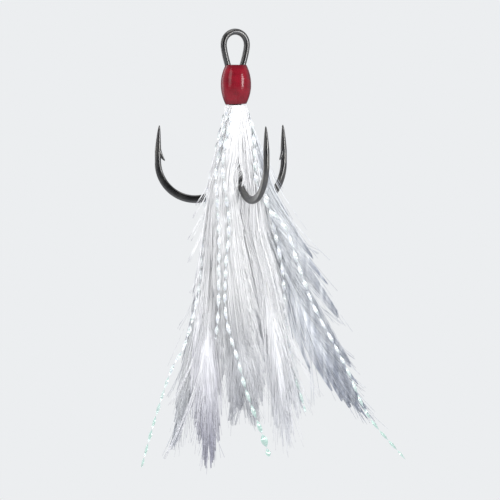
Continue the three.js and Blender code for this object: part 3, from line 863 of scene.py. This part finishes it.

# What each feather says:
# tie: azimuth where it leaves the head; wing: the body that it rides
# barbs: number on each side; reach: how far down a barb runs along the feather, in mm
# locks and pull: how many barbs draw together, and how far; flare: 0 for curved barbs, 1 for straight
# cup: how far the vane's edges lie back; stray: share of barbs that stand out
# fluff: number of base fibres, how far left and right they spread, and how far down they reach
# root and tip: colours, the tip colour being painted shade; fade: where the painted shade starts along a barb
# and along the feather
# shade: the darkest barb's tone, and how streaky the colours are
# wisps: x and z of each end, and the share of the length where it starts
# line: x, y and z of the quill, and the half widths left and right of it, where the barbs end
FEATHERS = {
    "middle": dict(
        tie=285, wing="left_wing", barbs=430, reach=19, locks=(8, 22), pull=(0.45, 0.95), flare=0.42, cup=0.5,
        stray=0.06, fluff=(620, -2.3, 2.4, 0.80), root=(0.93, 0.93, 0.935), tip=(0.37, 0.38, 0.42),
        fade=(0.92, 0.54), shade=(0.90, 0.11),
        wisps=[(-2.6, -55.5, 0.60), (5.6, -56.5, 0.62), (4.4, -59.5, 0.68)], line=[
            (0, -1.72, -12.5, 0.8, 1.2), (-0.8, -2.1, -17, 1.5, 1.9), (-1.7, -2.35, -23.5, 1.9, 2.2),
            (-1.5, -2.4, -30, 2.8, 2.8), (-0.6, -2.35, -40, 3.2, 3.8), (0.8, -2.3, -50, 3.6, 4.8),
            (1.4, -2.25, -57, 3.7, 4.2), (1.4, -2.2, -60.6, 3.0, 3.0)]),
    "left": dict(
        tie=195, wing="left_wing", barbs=430, reach=20, locks=(8, 24), pull=(0.45, 0.95), flare=0.42, cup=0.4,
        stray=0.08, fluff=(320, -1.7, 2.2, 0.66), root=(0.94, 0.94, 0.95), tip=(0.32, 0.32, 0.40),
        fade=(0.92, 0.52), shade=(0.88, 0.13),
        wisps=[(-6.2, -24.8, 0.05), (-6.9, -26.8, 0.08), (-7.3, -30.5, 0.12), (-7.6, -34.0, 0.18),
                (-6.9, -39.5, 0.28), (-9.5, -63.3, 0.55), (-10.4, -56.9, 0.45), (-11.1, -65.8, 0.55),
                (-7.3, -63.2, 0.62)], line=[
            (-1.6, -0.9, -12.5, 0.4, 0.6), (-2.2, -1.2, -17, 0.8, 0.9), (-3.1, -1.35, -23.5, 1.9, 1.3),
            (-3.5, -1.4, -30, 2.0, 2.3), (-3.9, -1.4, -38, 2.6, 2.8), (-4.4, -1.4, -47, 3.3, 3.0),
            (-4.4, -1.35, -57, 3.0, 2.4), (-4.4, -1.3, -62.0, 2.6, 2.3), (-4.4, -1.3, -65.4, 1.8, 1.6),
            (-4.4, -1.3, -67.4, 0.6, 0.6)]),
    "centre_right": dict(
        tie=315, wing="right_wing", barbs=170, reach=24, locks=(3, 9), pull=(0.45, 0.95), flare=0.5, cup=0.4,
        stray=0.3, fluff=(280, -2.6, 2.2, 0.66), root=(0.94, 0.94, 0.95), tip=(0.66, 0.67, 0.71),
        fade=(0.76, 0.44), shade=(0.80, 0.16),
        wisps=[(10.2, -55.0, 0.45), (8.8, -60.5, 0.55), (12.0, -57.2, 0.50), (13.4, -55.6, 0.45),
                (5.9, -61.5, 0.60)], line=[
            (1.3, -1.15, -12.5, 0.6, 0.8), (1.7, -1.0, -17, 0.9, 1.4), (2.4, -0.85, -23.5, 1.4, 1.9),
            (2.9, -0.8, -29.8, 2.4, 2.4), (4.6, -0.8, -36.2, 2.7, 2.7), (6.1, -0.8, -45.5, 2.8, 3.0),
            (7.4, -0.8, -57, 2.4, 3.9), (8.0, -0.8, -64, 0.8, 1.2)]),
    "right": dict(
        tie=45, wing="right_wing", barbs=620, reach=20, locks=(40, 90), pull=(0.80, 0.98), flare=0.85,
        cup=-0.4, stray=0.08, fluff=(200, -1.0, 2.4, 0.62), root=(0.90, 0.92, 0.95), tip=(0.29, 0.32, 0.40),
        fade=(0.70, 0.36), shade=(0.68, 0.34),
        wisps=[(13.3, -32.6, 0.16), (15.4, -40.3, 0.30), (16.9, -44.2, 0.38), (18.9, -49.8, 0.50),
                (20.6, -54.8, 0.62), (12.4, -57.0, 0.48)], line=[
            (1.6, 0.75, -12.5, 0.4, 0.8), (2.1, 0.5, -17.9, 0.7, 2.0), (3.0, 0.28, -24, 1.5, 4.2),
            (6.2, 0.15, -32.1, 2.6, 5.9), (9.9, 0.1, -40.2, 3.6, 6.2), (12.6, 0.1, -46.2, 4.0, 5.4),
            (15.5, 0.1, -50.9, 3.8, 4.2), (19.0, 0.1, -56.2, 2.4, 2.0), (21.4, 0.1, -59.4, 0.6, 0.5)]),
    "back_right": dict(
        tie=75, wing="back_wing", barbs=240, reach=19, locks=(8, 22), pull=(0.45, 0.95), flare=0.5, cup=-0.6,
        stray=0.1, fluff=(180, -1.5, 1.5, 0.62), root=(0.90, 0.91, 0.93), tip=(0.50, 0.52, 0.57),
        fade=(0.7, 0.75), shade=(0.80, 0.16),
        wisps=[(9.0, -44.0, 0.35), (11.5, -52.0, 0.50)], line=[
            (0.2, 1.65, -12.5, 0.6, 0.6), (-0.1, 1.95, -17, 0.9, 0.7), (-0.6, 2.25, -23.5, 1.3, 0.9),
            (0.4, 2.3, -30, 2.0, 2.4), (2.6, 2.3, -38, 2.8, 2.9), (5.2, 2.2, -46, 2.6, 2.6),
            (8.6, 2.1, -54, 2.2, 1.6), (10.4, 2.1, -58, 0.8, 0.6)]),
    "back_left": dict(
        tie=135, wing="back_wing", barbs=330, reach=19, locks=(8, 22), pull=(0.45, 0.95), flare=0.5, cup=-0.6,
        stray=0.1, fluff=(180, -1.5, 1.5, 0.62), root=(0.92, 0.93, 0.94), tip=(0.50, 0.52, 0.57),
        fade=(0.7, 0.75), shade=(0.80, 0.16),
        wisps=[(-9.5, -45.0, 0.35), (-11.0, -56.0, 0.50)], line=[
            (-1.5, 1.15, -12.5, 0.5, 0.5), (-2.1, 1.3, -17, 0.8, 0.7), (-3.0, 1.4, -23.5, 1.1, 1.0),
            (-3.7, 1.4, -30, 1.8, 2.0), (-5.0, 1.3, -40, 2.2, 2.6), (-6.8, 1.2, -50, 2.0, 2.2),
            (-8.6, 1.1, -58, 1.5, 1.5), (-10.2, 1.0, -64.5, 0.5, 0.5)]),
}


class Vane:
    """A feather's quill line and half widths, read at any share of its length."""

    def __init__(self, spec):
        start = around(spec["tie"], TIE_RADIUS, QUILL_TOP)
        line = np.array(spec["line"], float)
        fine = np.linspace(0, 1, 300)
        self.places = spline(np.vstack([start, line[:, :3]]), fine)
        widths = np.vstack([(0.3, 0.3), line[:, 3:]])
        steps = np.linspace(0, 1, len(widths))
        run = distance_along(self.places)
        self.length = run[-1]
        self.share = run / run[-1]
        self.widths = np.column_stack([np.interp(fine, steps, widths[:, k]) for k in (0, 1)])
        self.along = travel(self.places)
        self.right = unit(np.cross(self.along, (0.0, 1.0, 0.0)))

    def read(self, share, rows):
        """rows (one per sample of the line) read at an array of shares of the length."""
        return np.stack([np.interp(share, self.share, rows[:, k]) for k in range(3)], axis=-1)

    def half_width(self, share, side):
        return np.interp(share, self.share, self.widths[:, 0 if side < 0 else 1])

    def offset(self, share, sideways, forward):
        """Places beside the quill line: sideways to the right, forward to the front."""
        return (
            self.read(share, self.places)
            + sideways[..., None] * self.read(share, self.right)
            + forward[..., None] * FRONT
        )


def barb_lines(vane, spec, side, rng):
    """One side's barbs in the order of their ends: centrelines as (barbs, steps, 3), and the share
    of the feather's length that each point lies at. Most end on the outline and the rest inside it,
    and at the tip some cross to the other side."""
    count = spec["barbs"]
    end = rng.uniform(0.12, 1.0, count) ** 0.9
    at_tip = rng.random(count) < 0.30
    end = np.sort(np.where(at_tip, rng.uniform(TIP_FROM, 1.0, count), end))
    reach = spec["reach"] * (0.55 + 0.45 * np.sin(np.pi * end)) * rng.normal(1, 0.08, count)
    root = np.clip(end - reach / vane.length, 0.004, QUILL_SHARE - 0.01)
    inside = rng.random(count) < np.where(end > TIP_FROM, 0.6, 0.3)
    inner = np.where(end > 0.93, -0.7, 0.05)
    fill = np.where(inside, rng.uniform(inner, 0.85, count), rng.uniform(0.86, 1.04, count))
    width = vane.half_width(end, side) * fill * side
    t = np.linspace(0, 1, BARB_LINE_STEPS)[None, :]
    share = root[:, None] + (end - root)[:, None] * t
    flare = spec["flare"]
    sideways = width[:, None] * (flare * t + (1 - flare) * (1 - (1 - t) ** 2))
    lift = rng.normal(0, 0.24, count)[:, None] * t + rng.normal(0, 0.10, (count, 1)) * t**2
    forward = -spec["cup"] * (sideways / 4.0) ** 2 + lift
    return vane.offset(share, sideways, forward), share


def fluff_lines(vane, spec, rng):
    """Soft fibres of the feather's base, which hide the shanks below the head."""
    count, left, right, reach = spec["fluff"]
    turn = np.radians(spec["tie"] + rng.normal(0, 20, count))
    radius = TIE_RADIUS + rng.uniform(-0.1, 0.3, count)
    top = np.full(count, QUILL_TOP + 0.2)
    start = np.column_stack([radius * np.cos(turn), radius * np.sin(turn), top])
    shortest = 0.16
    end = shortest + (reach - shortest) * rng.random(count) ** 0.7
    t = np.linspace(0, 1, BARB_LINE_STEPS)[None, :]
    share = end[:, None] * t
    spread = rng.uniform(left, right, count)[:, None]
    sideways = spread * (0.35 * t + 0.65 * t**0.6)
    forward = rng.uniform(-0.1, 0.55, count)[:, None] * np.sin(math.pi * t * 0.7)
    lines = vane.offset(share, sideways, forward)
    fade = (1 - t[..., None]) ** 2.5
    own = vane.read(np.zeros(1), vane.places)
    return lines + (start[:, None, :] - own) * fade, share


def wisp_lines(vane, spec, rng):
    """Long barbs that stand off the feather; each wisp is a few barbs side by side."""
    ends = np.repeat(np.array(spec["wisps"], float), BARBS_IN_A_WISP, axis=0)
    share = np.clip(ends[:, 2] + rng.uniform(-0.03, 0.03, len(ends)), 0.01, QUILL_SHARE)
    start = vane.read(share, vane.places)
    end = np.column_stack([ends[:, 0], start[:, 1], ends[:, 1]]) + rng.normal(0, 0.28, (len(ends), 3))
    span = np.linalg.norm(end - start, axis=1)[:, None]
    knee = start + vane.read(share, vane.along) * span * 0.5
    t = np.linspace(0, 1, BARB_LINE_STEPS)[None, :, None]
    lines = start[:, None] * (1 - t) ** 2 + 2 * knee[:, None] * t * (1 - t) + end[:, None] * t**2
    return lines, share[:, None] + 0.2 * t[..., 0]


def locked(lines, sizes, pull_range, power, rng):
    """Draws neighbouring barbs together towards their tips into pointed locks."""
    made = lines.copy()
    t = np.linspace(0, 1, BARB_LINE_STEPS)[None, :, None]
    i = 0
    while i < len(lines):
        size = int(rng.integers(*sizes))
        group = slice(i, min(i + size, len(lines)))
        middle = lines[group].mean(axis=0)
        shift = middle + (lines[group][-1] - middle) * 0.5 * t[0]
        made[group] += (shift - lines[group]) * rng.uniform(*pull_range) * t**power
        i += size
    return made


def strayed(lines, share, rng):
    """Lets a few barbs stand out from the rest, a little longer."""
    made = lines.copy()
    t = np.linspace(0, 1, BARB_LINE_STEPS)[None, :, None]
    pick = rng.random(len(lines)) < share
    way = rng.normal(0, 1, (pick.sum(), 1, 3)) * (0.7, 0.5, 0.25)
    made[pick] += way * t**2
    heading = made[pick, -1] - made[pick, -3]
    made[pick] += heading[:, None, :] * t**3 * rng.uniform(0.1, 0.9, (pick.sum(), 1, 1))
    return made


def parted(lines, rng):
    """Pushes most barbs to either side of the front hook's bend, so that it shows between them."""
    aside = (lines[..., 0] - PARTING_X) / PARTING_WIDTH
    level = (lines[..., 2] - PARTING_Z) / PARTING_HEIGHT
    pushed = rng.random((len(lines), 1)) < PARTING_SHARE
    made = lines.copy()
    made[..., 0] += pushed * PARTING_WIDTH * np.sign(aside) * np.exp(-(aside**2) - level**2)
    return made


def barb_mesh(name, lines, share, paint, tone, look, rng):
    """Every barb as a thin tapered three-sided strand, in one mesh. Its colour runs along the map
    as far as its paint says."""
    count, steps = lines.shape[:2]
    along = unit(np.gradient(lines, axis=1))
    across = unit(np.cross(along, FRONT))
    t = np.linspace(0, 1, steps)
    taper = (1 - 0.68 * t**2)[None, :, None]
    half = rng.uniform(*BARB_RADII, count)[:, None, None] * taper
    rows = np.stack([
        lines + across * half,
        lines - across * half,
        lines + np.cross(across, along) * half * 0.8,
    ], axis=2)
    faces = []
    for b in range(count):
        faces += tube_faces(steps, 3, b * steps * 3)
    piece = new_mesh(name, rows.reshape(-1, 3), faces, look)
    data = piece.data
    index = np.empty(len(data.loops), int)
    data.loops.foreach_get("vertex_index", index)
    barb_of, rest = np.divmod(index, steps * 3)
    ring, corner = np.divmod(rest, 3)
    add_map(data, "Vane", t[ring] * paint[barb_of], share[barb_of, ring])
    # One narrow cell of the map for each barb.
    columns = math.ceil(math.sqrt(count * 6))
    row, column = np.divmod(barb_of, columns)
    u = (column + 0.1 + 0.4 * corner) / columns
    v = (row + 0.05 + 0.9 * ring / (steps - 1)) / math.ceil(count / columns)
    add_map(data, "OFBake", u, v)
    attribute = data.attributes.new("tone", "FLOAT", "POINT")
    attribute.data.foreach_set("value", np.repeat(tone, steps * 3))
    return piece


def add_map(data, name, u, v):
    data.uv_layers.new(name=name).data.foreach_set("uv", np.column_stack([u, v]).ravel())


def make_quill(name, wing, vane, horn):
    places = vane.read(np.linspace(0, QUILL_SHARE, QUILL_STEPS), vane.places)
    taper = np.linspace(0, 1, QUILL_STEPS) ** 0.8
    radius = QUILL_RADIUS + (QUILL_END_RADIUS - QUILL_RADIUS) * taper
    side = np.tile((1.0, 0.0, 0.0), (QUILL_STEPS, 1))
    quill = rod("shaft_" + name, places, side, radius, radius, horn, 10)
    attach(quill, wing)
    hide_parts("quill_" + name)


def make_barbs(name, spec, vane, rng):
    """The barbs of both sides, drawn into small locks and then into larger ones, and the wisps and
    the base's fluff."""
    groups = []
    for side in (-1, 1):
        lines, share = barb_lines(vane, spec, side, rng)
        lines = locked(lines, (3, 8), (0.4, 0.95), 1.4, rng)
        lines = locked(lines, spec["locks"], spec["pull"], 1.7, rng)
        groups.append((strayed(lines, spec["stray"], rng), share))
    groups.append(wisp_lines(vane, spec, rng))
    fluff, share = fluff_lines(vane, spec, rng)
    groups.append((strayed(fluff, 0.15, rng), share))
    lines, share = (np.concatenate(both) for both in zip(*groups))
    lines = parted(lines, rng)
    paint = np.ones(len(lines))
    paint[-len(fluff):] = 0.7
    look = hackle(name, spec["root"], spec["tip"], *spec["fade"], *spec["shade"])
    tone = np.clip(rng.normal(0.5, 0.25, len(lines)), 0, 1)
    # Painted light: the fluff gets lighter tones than the barbs, lifting the shade its crowded fibres cast on
    # each other.
    tone[-len(fluff):] = rng.uniform(0.65, 1.0, len(fluff))
    barbs = barb_mesh("barbs_" + name, lines, share, paint, tone, look, rng)
    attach(barbs, spec["wing"])
    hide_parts("vane_" + name)


def make_feathers(horn):
    for seed, (name, spec) in enumerate(FEATHERS.items(), start=11):
        vane = Vane(spec)
        make_quill(name, spec["wing"], vane, horn)
        make_barbs(name, spec, vane, np.random.default_rng(seed))


# ------------------------------------------------------------------ floor

FLOOR_RADIUS = 2500.0
FLOOR_LEVEL = -400.0
FLOOR_SIDES = 96


def make_floor():
    """A wide pale disc, well below the hanging hook."""
    look = Look("floor_paper", Roughness=0.9)
    grain = look.noise(look.place((0.02, 0.02, 0.02)), 1.0, 4.0)
    look.set(Base_Color=look.ramp(grain, (0.3, (0.645, 0.657, 0.67)), (0.7, (0.675, 0.687, 0.70))))
    ring = [around(360 * i / FLOOR_SIDES, FLOOR_RADIUS, FLOOR_LEVEL) for i in range(FLOOR_SIDES)]
    floor = new_mesh("floor", ring, [tuple(range(FLOOR_SIDES))], look.material)


# ------------------------------------------------------------------ assembly


make_camera()
film = pearl_tinsel()
make_tinsel(film)
make_lights()
make_world()
make_floor()
make_wires()
make_lacquer()
horn = quill_horn()
dress_inner_nodes(horn, film)
make_feathers(horn)
bpy.context.scene.view_settings.view_transform = "Standard"
